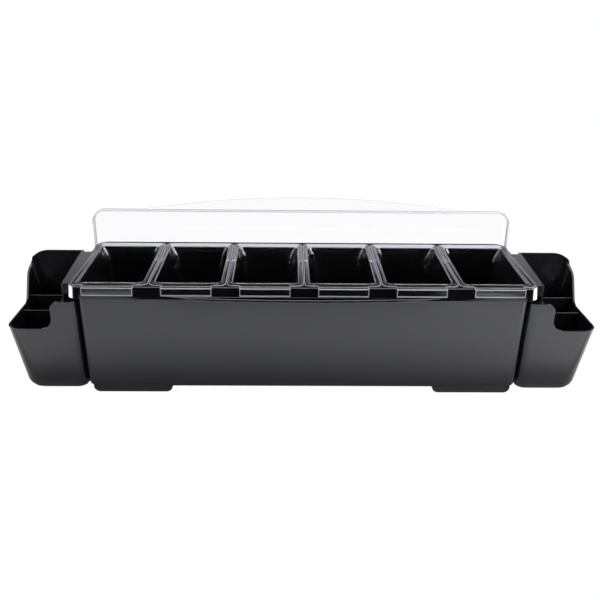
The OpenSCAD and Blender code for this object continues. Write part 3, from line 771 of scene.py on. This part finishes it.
def tab_finish(spot):
    """Painted light lines round the tab and at its two folds; all else is clear."""
    on_side = abs(spot.x) > TAB_HALF - TAB_LINE
    on_end = spot.z < TAB_LOW + TAB_LINE
    if on_side or on_end:
        return LINE
    if spot.z > FLANGE_TOP - TAB_FLAT:
        return LINE if spot.y > FLANGE[2] - TAB_LINE else CLEAR
    return LINE if spot.z > FLANGE_TOP - TAB_FOLD else CLEAR


def grow_tab(bm, lip):
    """Runs the tab forward, round its bend and down."""
    turn_y = (TAB_FRONT + BEND) * MM
    turn_z = (FLANGE_TOP - BEND) * MM
    lip = push(bm, lip, lambda co: co - Vector((0, TAB_LINE * MM, 0)))
    lip = push(bm, lip, lambda co: co + Vector((0, turn_y - (FLANGE[2] - TAB_LINE) * MM, 0)))
    middle = Vector((0, turn_y, turn_z))
    turn = Matrix.Rotation(math.radians(90.0 / BEND_STEPS), 3, "X")
    for _ in range(BEND_STEPS):
        lip = push(bm, lip, lambda co: middle + turn @ (co - middle))
    for low in (TAB_LOW + TAB_LINE, TAB_LOW):
        front = max(v.co.z for f in lip for v in f.verts)
        lip = push(bm, lip, lambda co: co + Vector((0, 0, low * MM - front)))


print("the finger tab is", 2 * TAB_HALF, "mm wide")

# %% [markdown]
# Between two trays one sees pairs of thin light lines: the edges of their flanges and mouths. The
# light that makes them takes many turns inside the plastic, and a render seldom finds it. So the
# strips along these edges carry painted light lines. Along the back they are whiter, a painted
# reflection, and the mouth's front edge stays clear.

# %% Trays
DARK_FRONT = -62.0
REAR_EDGE = 50.0
FLAT_REAR = 58.0
TAB_PARTS = (1, 2, 3)
TRAY_SMOOTH = 50.0


def edge_finish(y, is_mouth, is_last):
    """The painted light of a strip along the flange's edge or the mouth's: a painted reflection
    along the back, painted light lines elsewhere, none at the mouth's front.
    """
    if y > REAR_EDGE:
        return REAR
    if is_mouth and y < DARK_FRONT:
        return CLEAR
    return LINE if is_last else EDGE


def make_tray(k):
    plan, edge_rows, mouth_rows = tray_rings()
    bm = bmesh.new()
    strips = skin(bm, plan)
    for row in [*edge_rows, *mouth_rows]:
        for face in strips[row]:
            y = face.calc_center_median().y / MM
            face.material_index = edge_finish(y, row in mouth_rows, row == edge_rows[-1])
    # the flat top along the back carries the painted reflection
    for face in strips[edge_rows[-1] + 1]:
        on_back = face.calc_center_median().y / MM > FLAT_REAR
        face.material_index = REAR if on_back else CLEAR
    grow_tab(bm, [strips[row][i] for row in edge_rows for i in TAB_PARTS])
    for face in bm.faces:
        spot = face.calc_center_median() / MM
        if spot.y < FLANGE[2]:
            face.material_index = tab_finish(spot)
    shift = Vector(((k - 3.5) * TRAY_PITCH, TUB_MIDDLE, 0)) * MM
    bmesh.ops.translate(bm, vec=shift, verts=bm.verts[:])
    thing = new_object("clear_tray_" + str(k), bm, TRAY_MATS, TRAY_SMOOTH)
    even_shading(thing)
    return stand_in(thing, "tray_" + str(k))


for k in range(1, 7):
    make_tray(k)
print("trays placed")

# %% [markdown]
# The lid is one clear moulding: a flat panel with a skirt all round, standing behind the tub on
# its long edge. The skirts are deep at its ends and shallow along the top and the bottom, and the
# bowed grip rises over the top skirt as one long arc. The arc could be drawn by hand; worked out
# from its width and its height, it stays true when either changes.

# %% The lid's outline
LID_X = 256.5
LID_LOW = 6.7
LID_HIGH = 164.0
LID_ROUND = 14.0
LID_Y = 78.25
PANEL_N = 10.0
PANEL_OUT = 12.5
PANEL_ROUND = 0.8
SKIRT_T = 2.5
# where the skirts' free edges lie: a deep one is the nearer to the pins
SKIRT_DEEP = 3.0
SKIRT_SHORT = 7.0
SKIRT_TURN = 245.0
SKIRT_RISE = 7.0
GRIP_HALF = 195.0
GRIP_REACH = 15.4
GRIP_STEPS = 40
GRIP_EDGE = 2.0
LID_EDGE = 0.6


def bowed(x, z):
    """Height of the lid's top edge once the grip is added."""
    if z < LID_HIGH - GRIP_EDGE or abs(x) >= GRIP_HALF:
        return z
    radius = (GRIP_HALF ** 2 + GRIP_REACH ** 2) / (2 * GRIP_REACH)
    return z + math.sqrt(radius ** 2 - x ** 2) - (radius - GRIP_REACH)


def lid_ring(inset, depth, bow):
    """A ring of the lid: outline shrunk by an inset, at a depth that may change along it."""
    xs = [GRIP_HALF - 2 * GRIP_HALF * i / GRIP_STEPS for i in range(GRIP_STEPS + 1)]
    flat = ring(-LID_X + inset, LID_X - inset, -LID_HIGH + inset, -LID_LOW - inset,
                LID_ROUND - inset, extra=[-x for x in xs])
    points = []
    for x, down in flat:
        z = -down
        n = depth(x) if callable(depth) else depth
        points.append((x, LID_Y + n, bowed(x, z) if bow else z))
    return points


def skirt(extra):
    """Where the skirt's free edge lies: its depth changes near the lid's ends."""
    def depth(x):
        share = min(max((abs(x) - SKIRT_TURN) / SKIRT_RISE, 0.0), 1.0)
        share = share * share * (3 - 2 * share)
        return SKIRT_SHORT + (SKIRT_DEEP - SKIRT_SHORT) * share + extra
    return depth


print("points in a ring of the lid:", len(lid_ring(0.0, PANEL_N, True)))

# %% [markdown]
# Like a tray, the lid is one skin, because a panel with skirts stuck on would show the joints
# through the plastic. It runs in from the panel's inner face, round the skirt's free edge, out
# over the panel's rim and its grip, and across the outer face. The strips at the free edge and at
# the grip take the edge finish.

# %% Lid
EDGE_ROWS = (2, 3, 4, 5, 7)
LID_WELD = 0.02
LID_SMOOTH = 50.0


def make_lid():
    bm = bmesh.new()
    strips = skin(bm, [
        lid_ring(SKIRT_T + PANEL_ROUND, PANEL_N, False),
        lid_ring(SKIRT_T, PANEL_N - PANEL_ROUND, False),
        lid_ring(SKIRT_T, skirt(LID_EDGE), False),
        lid_ring(SKIRT_T - LID_EDGE, skirt(0.0), False),
        lid_ring(LID_EDGE, skirt(0.0), False),
        lid_ring(0.0, skirt(LID_EDGE), False),
        lid_ring(0.0, PANEL_N, False),
        lid_ring(0.0, PANEL_N, True),
        lid_ring(0.0, PANEL_OUT - LID_EDGE, True),
        lid_ring(LID_EDGE, PANEL_OUT, True),
    ])
    for row in EDGE_ROWS:
        for face in strips[row]:
            face.material_index = 1
    bmesh.ops.remove_doubles(bm, verts=bm.verts[:], dist=LID_WELD * MM)
    thing = new_object("clear_lid", bm, [clear_lid, lid_edge], LID_SMOOTH)
    even_shading(thing)
    return stand_in(thing, "lid")


make_lid()
print("lid placed")

# %% [markdown]
# Four ears on the inner face carry the lid on its pins, two at either arm. Each is a round eye on
# a short block that ends on the panel. A boolean could cut the eyes, but it can leave stray
# faces; here outline and eye are drawn as two loops, and the space between them is filled.

# %% Ears
EAR_X = 222.0
EAR_APART = 4.4
EAR_T = 4.0
EAR_Z = 13.0
EAR_HALF = 6.0
EAR_REACH = PANEL_N + 0.2
EAR_HOLE = 2.55
EAR_STEPS = 24
EAR_SMOOTH = 40.0
EAR_EDGE = 0.3
EAR_SHARP = 50.0


def arc(radius, start, sweep, count):
    """Points along an arc, as pairs of depth and height."""
    turns = [math.radians(start + sweep * i / EAR_STEPS) for i in range(count)]
    return [(radius * math.cos(turn), radius * math.sin(turn)) for turn in turns]


def make_ear(x, name):
    outer = arc(EAR_HALF, 90.0, 180.0, EAR_STEPS + 1)
    outer += [(EAR_REACH, -EAR_HALF), (EAR_REACH, EAR_HALF)]
    eye = arc(EAR_HOLE, 0.0, 360.0, EAR_STEPS)
    bm = bmesh.new()
    loops = [[[bm.verts.new(Vector((at, LID_Y + n, EAR_Z + z)) * MM) for n, z in plan]
              for at in (x - EAR_T / 2, x + EAR_T / 2)]
             for plan in (outer, eye)]
    for near, far in loops:
        count = len(near)
        for i in range(count):
            after = (i + 1) % count
            bm.faces.new((near[i], near[after], far[after], far[i]))
    for side in zip(*loops):
        edges = [bm.edges.get((row[i], row[(i + 1) % len(row)]))
                 for row in side for i in range(len(row))]
        bmesh.ops.triangle_fill(bm, use_beauty=True, edges=edges)
    thing = new_object(name, bm, [clear_lid], EAR_SMOOTH)
    round_edges(thing, EAR_EDGE, EAR_SHARP, 2)
    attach(thing, "lid")
    return thing


for hand, at in (("left", -EAR_X), ("right", EAR_X)):
    make_ear(at - EAR_APART, "lid_ear_" + hand + "_a")
    make_ear(at + EAR_APART, "lid_ear_" + hand + "_b")
print("ears placed")

# %% [markdown]
# Last, the script says that it has come to its end.

# %% The end
print("done")
